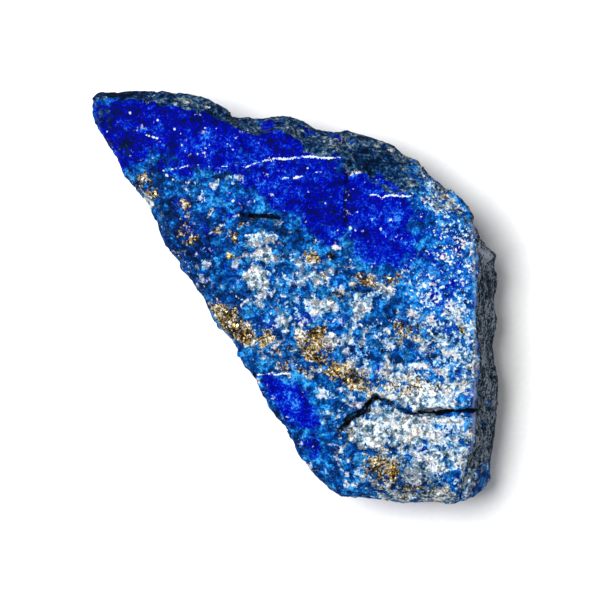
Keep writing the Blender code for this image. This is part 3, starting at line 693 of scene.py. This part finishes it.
def rawLapis(storedFields):
    # raw fracture of lapis: deep blue mottled with white, gold specks, neither wet nor polished
    material = bpy.data.materials.new("raw_lapis_fracture")
    material.use_nodes = True
    tree = material.node_tree
    tree.nodes.clear()
    field = {name: addNode(tree, "Attribute", {"attribute_name": name}, give="Fac") for name in storedFields}

    # patterns in mm, stirred a little
    objectPlace = addNode(tree, "TexCoord", give="Object")
    inMm = addNode(tree, "VectorMath", {"operation": "SCALE"}, {0: objectPlace, "Scale": 1 / mm})
    swirl = addNode(tree, "TexNoise", inputs={"Vector": inMm, "Scale": 1 / lapis["swirlSize"], "Detail": 2.0},
                    give="Color")
    place = addNode(tree, "VectorMath", {"operation": "MULTIPLY_ADD"},
                    {0: swirl, 1: [lapis["swirl"]] * 3, 2: inMm})
    layered = addNode(tree, "VectorMath", {"operation": "MULTIPLY"},
                      {0: place, 1: (lapis["beddingStretch"], lapis["beddingStretch"], 1.0)})
    for name, (size, octaves, rough) in patterns.items():
        where = layered if name == "bedding" else place
        field[name] = addNode(tree, "TexNoise", inputs={"Vector": where, "Scale": 1 / size, "Detail": octaves,
                                                        "Roughness": rough})
    for name, size in crystals.items():
        ball = addNode(tree, "TexVoronoi", inputs={"Vector": place, "Scale": 1 / size}, give="Color")
        chance = addNode(tree, "SeparateColor", inputs={"Color": ball}).node.outputs
        field[name + "Dome"] = ball.node.outputs["Distance"]
        for letter, channel in (("A", "Red"), ("B", "Green"), ("C", "Blue")):
            field[name + letter] = chance[channel]

    for name, (start, swings) in mixes.items():
        total = addNode(tree, "Math", {"operation": "SUBTRACT"},
                        {0: field[start], 1: sum(swings.values()) / 2})
        for swing, amount in swings.items():
            total = addNode(tree, "Math", {"operation": "MULTIPLY_ADD"},
                            {0: field[swing], 1: amount, 2: total})
        field[name] = total
    field["whiteness"] = addNode(tree, "Mix", {"data_type": "FLOAT"},
                                 {0: field["sugar"], 2: field["cloudy"], 3: field["sugary"]})
    lift, darkest = lapis["calciteLift"]
    calciteTone = addNode(tree, "Math", {"operation": "MULTIPLY_ADD"},
                          {0: field["whiteness"], 1: lift, 2: darkest})
    for swing, amount in calciteSwings.items():
        centred = addNode(tree, "Math", {"operation": "SUBTRACT"}, {0: field[swing], 1: 0.5})
        calciteTone = addNode(tree, "Math", {"operation": "MULTIPLY_ADD"},
                              {0: centred, 1: amount, 2: calciteTone})
    field["calciteTone"] = calciteTone

    for name, (source, none, full) in covers.items():
        field[name] = addNode(tree, "MapRange", {"interpolation_type": "SMOOTHSTEP"},
                              {"Value": field[source], "From Min": none, "From Max": full})
    for name, first, second in (("goldCover", "richCover", "luckyCover"),
                                ("warmCover", "warmCover", "calciteCover")):
        field[name] = addNode(tree, "Math", {"operation": "MULTIPLY"}, {0: field[first], 1: field[second]})

    tint = {name: addNode(tree, "ValToRGB", inputs={0: field[tone]}, stops=lapis[ramp])
            for name, (tone, ramp) in tints.items()}
    tint["calcite"] = addNode(tree, "Mix", {"data_type": "RGBA"},
                              {0: field["dullCover"], 6: tint["clean"], 7: tint["dull"]}, give=2)
    surface = tint["thin"]
    for cover, over, share in layers:
        amount = addNode(tree, "Math", {"operation": "MULTIPLY", "use_clamp": True},
                         {0: field[cover], 1: share})
        overTint = tint[over] if over in tint else colour(lapis[over])
        surface = addNode(tree, "Mix", {"data_type": "RGBA"}, {0: amount, 6: surface, 7: overTint}, give=2)

    glassy, dull = lapis["rockGloss"]
    gloss = addNode(tree, "MapRange", inputs={"Value": field["calciteCover"], "To Min": glassy,
                                              "To Max": dull})
    gloss = addNode(tree, "Mix", {"data_type": "FLOAT"},
                    {0: field["goldCover"], 2: gloss, 3: lapis["pyriteGloss"]})
    rise = field["calciteCover"]
    for swing, amount in grainRise.items():
        rise = addNode(tree, "Math", {"operation": "MULTIPLY_ADD"}, {0: field[swing], 1: amount, 2: rise})
    bump = addNode(tree, "Bump", inputs={"Height": rise, "Strength": lapis["bumpStrength"],
                                         "Distance": lapis["bumpHeight"] * mm})
    shader = addNode(tree, "BsdfPrincipled", inputs={
        "Base Color": surface, "Roughness": gloss, "Metallic": field["goldCover"], "Normal": bump,
        "IOR": lapis["ior"], "Specular IOR Level": lapis["specular"]})
    addNode(tree, "OutputMaterial", inputs={"Surface": shader})
    return material


rock = makeStone()
print("stone remeshed:", len(rock.data.vertices), "points")
thinSides(rock)
rockHeight, crackDepth = breakSurface(rock.data)
print("surface broken")
rockFields = mapMinerals(rock.data, rockHeight, crackDepth)
rock.data.shade_smooth()
rock.data.materials.clear()
rock.data.materials.append(rawLapis(rockFields))
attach(rock, "root")
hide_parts("lapis_lazuli")
print("stone finished:", sum(len(face.vertices) - 2 for face in rock.data.polygons), "triangles")


# White card under the stone

table = {
    "size": 3.0,             # m across
    "card": "#ffffff",
    "cardShade": "#fbfbfb",  # between its fibres
    "fibre": 0.6,            # mm from fibre to fibre, as coarse as it needs to be to show
    "roughness": 0.9,
    "specular": 0.1,
}


def whiteCard():
    # matte white card: no gloss, the faintest mottle of its fibres
    material = bpy.data.materials.new("matte_white_card")
    material.use_nodes = True
    tree = material.node_tree
    tree.nodes.clear()
    place = addNode(tree, "TexCoord", give="Object")
    fibres = addNode(tree, "TexNoise", inputs={"Vector": place, "Scale": 1 / (table["fibre"] * mm),
                                               "Detail": 4.0})
    face = addNode(tree, "ValToRGB", inputs={0: fibres},
                   stops=[(0.3, table["cardShade"]), (0.7, table["card"])])
    shader = addNode(tree, "BsdfPrincipled", inputs={"Base Color": face, "Roughness": table["roughness"],
                                                     "Specular IOR Level": table["specular"]})
    addNode(tree, "OutputMaterial", inputs={"Surface": shader})
    return material


def makeTable():
    # stage only: it isn't part of the stone
    half = table["size"] / 2
    card = bpy.data.meshes.new("table_card")
    corners = [(-half, -half, 0), (half, -half, 0), (half, half, 0), (-half, half, 0)]
    card.from_pydata(corners, [], [(0, 1, 2, 3)])
    floor = bpy.data.objects.new("table_card", card)
    bpy.context.scene.collection.objects.link(floor)
    card.materials.append(whiteCard())


makeTable()


# Light and camera

studio = {
    "skyStrength": 0.31,     # even light from all round
    "keyWatts": 4.7,         # soft box, up and to the left
    "keySize": 0.34,         # m across
    "keyDistance": 0.60,     # m from the stone
    "keyLean": 20.0,         # degrees off straight up, towards the left
    "keyTurn": 19.0,         # degrees round from the left towards the top edge
}
view = {
    "height": 0.70,          # m above the broad face
    "faceHeight": 0.0145,    # m, broad face above the table
    "fieldWidth": 0.072,     # m across the picture at the broad face
    "sensor": 36.0,          # mm
    "aim": (0.00047, -0.0003),   # m, the point in the middle of the picture
}


def makeLight():
    world = bpy.data.worlds.new("studio_white")
    world.use_nodes = True
    world.node_tree.nodes["Background"].inputs["Color"].default_value = (1, 1, 1, 1)
    world.node_tree.nodes["Background"].inputs["Strength"].default_value = studio["skyStrength"]
    bpy.context.scene.world = world
    box = bpy.data.lights.new("soft_box", "AREA")
    box.shape, box.size, box.energy = "DISK", studio["keySize"], studio["keyWatts"]
    key = bpy.data.objects.new("soft_box", box)
    lean, turn = math.radians(studio["keyLean"]), math.radians(studio["keyTurn"])
    away = Vector((-math.sin(lean) * math.cos(turn), math.sin(lean) * math.sin(turn), math.cos(lean)))
    key.location = away * studio["keyDistance"]
    key.rotation_euler = away.to_track_quat("Z", "Y").to_euler()
    bpy.context.scene.collection.objects.link(key)


def makeCamera():
    lens = bpy.data.cameras.new("from_above")
    lens.sensor_width = view["sensor"]
    lens.lens = view["sensor"] * view["height"] / view["fieldWidth"]
    lens.clip_start, lens.clip_end = 0.01, 10.0
    camera = bpy.data.objects.new("from_above", lens)
    camera.location = (*view["aim"], view["faceHeight"] + view["height"])
    bpy.context.scene.collection.objects.link(camera)
    bpy.context.scene.camera = camera


makeLight()
makeCamera()
bpy.context.scene.view_settings.view_transform = "Standard"
print("table, light and camera placed")
